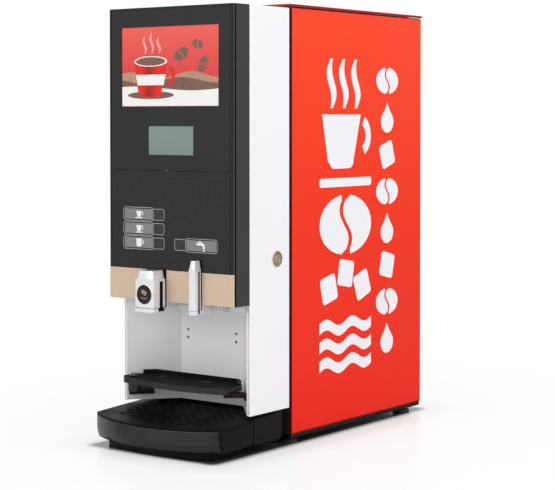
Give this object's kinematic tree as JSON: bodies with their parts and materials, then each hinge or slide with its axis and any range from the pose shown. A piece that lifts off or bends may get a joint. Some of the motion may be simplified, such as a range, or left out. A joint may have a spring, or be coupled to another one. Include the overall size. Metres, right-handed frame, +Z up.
{
  "type": "hot chocolate dispenser",
  "caption": "Narrow upright hot chocolate dispenser with a deep hinged front door, key panel, mixing and hot water outlets, bow-front drip tray and swing-out cup shelf.",
  "frame": {"origin": "centre of the machine's bounding box at the level of its feet", "axes": "+X to the machine's right as its user sees it, +Y from the front to the back, +Z up"},
  "size_m": [0.253, 0.5898, 0.675],
  "materials": {
    "red_paint": "gloss",
    "white_paint": "satin",
    "black_paint": "satin",
    "grey_paint": "satin",
    "sheet_steel": "brushed",
    "screw_steel": "bright",
    "rubber_foot": "matt",
    "black_plastic": "textured",
    "charcoal_plastic": "satin",
    "panel_black": "satin",
    "beige_plastic": "satin",
    "picture_print": "printed",
    "display_glass": "gloss",
    "circuit_board": "soldermask",
    "key_rubber": "matt",
    "label_film": "printed",
    "liner_grey": "satin",
    "carrier_grey": "satin",
    "outlet_chrome": "polished",
    "lock_brass": "satin",
    "clear_plastic": "translucent",
    "white_plastic": "moulded",
    "brown_plastic": "moulded",
    "motor_steel": "satin",
    "silicone": "translucent",
    "valve_brass": "machined",
    "switch_red": "gloss"
  },
  "bodies": {
    "cabinet": {"floor_pan": "black_paint", "front_frame": "black_paint", "side_panel_left": "red_paint", "side_panel_right": "red_paint", "rear_panel": "grey_paint", "feet": "rubber_foot", "base_moulding": "black_plastic", "hinge_brackets": "black_paint", "bulkhead": "sheet_steel", "canister_deck": "sheet_steel", "canister": "clear_plastic", "canister_spout": "white_plastic", "dosing_motor": "motor_steel", "mixer_bracket": "sheet_steel", "mixing_bowl": "white_plastic", "whipper_housing": "white_plastic", "whipper_motor": "motor_steel", "chocolate_feed": "silicone", "boiler": "sheet_steel", "water_valves": "white_plastic", "water_pipes": "silicone", "inlet_valve": "valve_brass", "power_supply": "sheet_steel", "control_board": "circuit_board", "fan_frame": "black_plastic", "power_inlet": "black_plastic", "rear_screws": "screw_steel"},
    "door": {"fascia_housing": "charcoal_plastic", "upper_panel": "panel_black", "lower_panel": "panel_black", "trim_strip": "beige_plastic", "picture_insert": "picture_print", "display_window": "display_glass", "display_module": "circuit_board", "label_plates": "label_film", "key_board": "circuit_board", "door_shell": "white_paint", "bay_liner": "liner_grey", "outlet_carrier": "carrier_grey", "chocolate_cover": "outlet_chrome", "water_cover": "outlet_chrome", "outlet_collars": "outlet_chrome", "outlet_cores": "black_plastic", "lock_housing": "lock_brass", "shelf_supports": "black_plastic"},
    "tray": {"drip_tray": "black_plastic", "drip_grille": "black_plastic"},
    "canister_lid": {"canister_lid": "brown_plastic"},
    "auger": {"auger": "white_plastic"},
    "agitator_wheel": {"agitator_wheel": "white_plastic"},
    "whipper": {"whipper": "white_plastic"},
    "fan_rotor": {"fan_rotor": "black_plastic"},
    "power_switch": {"power_switch": "switch_red"},
    "lid": {"lid": "red_paint"},
    "lock_barrel": {"lock_barrel": "lock_brass"},
    "key_top": {"key_top": "key_rubber"},
    "key_middle": {"key_middle": "key_rubber"},
    "key_bottom": {"key_bottom": "key_rubber"},
    "key_right": {"key_right": "key_rubber"},
    "cup_shelf": {"cup_shelf": "black_plastic"}
  },
  "joints": [
    {"name": "door_hinge", "type": "hinge", "parent": "cabinet", "child": "door", "pos_m": [-0.116, -0.103, 0], "axis": [0, 0, -1], "range_deg": [0, 100]},
    {"name": "lid_hinge", "type": "hinge", "parent": "cabinet", "child": "lid", "pos_m": [0, 0.278, 0.672], "axis": [-1, 0, 0], "range_deg": [0, 75]},
    {"name": "tray_slide", "type": "slide", "parent": "cabinet", "child": "tray", "axis": [0, -1, 0], "range_m": [0, 0.15]},
    {"name": "shelf_hinge", "type": "hinge", "parent": "door", "child": "cup_shelf", "pos_m": [-0.091, -0.207, 0.096], "axis": [0, 0, -1], "range_deg": [0, 100]},
    {"name": "lock_turn", "type": "hinge", "parent": "door", "child": "lock_barrel", "pos_m": [0.11, -0.127, 0.2885], "axis": [1, 0, 0], "range_deg": [0, 90]},
    {"name": "key_top_press", "type": "slide", "parent": "door", "child": "key_top", "axis": [0, 1, 0], "range_m": [0, 0.0009], "stiffness_N_per_m": 300, "springref_m": -0.002},
    {"name": "key_middle_press", "type": "slide", "parent": "door", "child": "key_middle", "axis": [0, 1, 0], "range_m": [0, 0.0009], "stiffness_N_per_m": 300, "springref_m": -0.002},
    {"name": "key_bottom_press", "type": "slide", "parent": "door", "child": "key_bottom", "axis": [0, 1, 0], "range_m": [0, 0.0009], "stiffness_N_per_m": 300, "springref_m": -0.002},
    {"name": "key_right_press", "type": "slide", "parent": "door", "child": "key_right", "axis": [0, 1, 0], "range_m": [0, 0.0009], "stiffness_N_per_m": 300, "springref_m": -0.002},
    {"name": "canister_lid_lift", "type": "slide", "parent": "cabinet", "child": "canister_lid", "axis": [0, 0, 1], "range_m": [0, 0.02]},
    {"name": "auger_spin", "type": "hinge", "parent": "cabinet", "child": "auger", "pos_m": [-0.01, 0, 0.419], "axis": [0, 1, 0], "continuous": true},
    {"name": "agitator_spin", "type": "hinge", "parent": "cabinet", "child": "agitator_wheel", "pos_m": [-0.01, 0.06, 0.47534], "axis": [-1, 0, 0], "continuous": true},
    {"name": "whipper_spin", "type": "hinge", "parent": "cabinet", "child": "whipper", "pos_m": [-0.0255, 0, 0.288], "axis": [0, 1, 0], "continuous": true},
    {"name": "fan_spin", "type": "hinge", "parent": "cabinet", "child": "fan_rotor", "pos_m": [-0.055, 0, 0.33], "axis": [0, 1, 0], "continuous": true},
    {"name": "switch_rock", "type": "hinge", "parent": "cabinet", "child": "power_switch", "pos_m": [-0.076, 0.28, 0.087], "axis": [1, 0, 0], "range_deg": [0, 16]}
  ],
  "couplings": [
    {"joint": "agitator_spin", "follows": "auger_spin", "ratio": 0.083333}
  ]
}
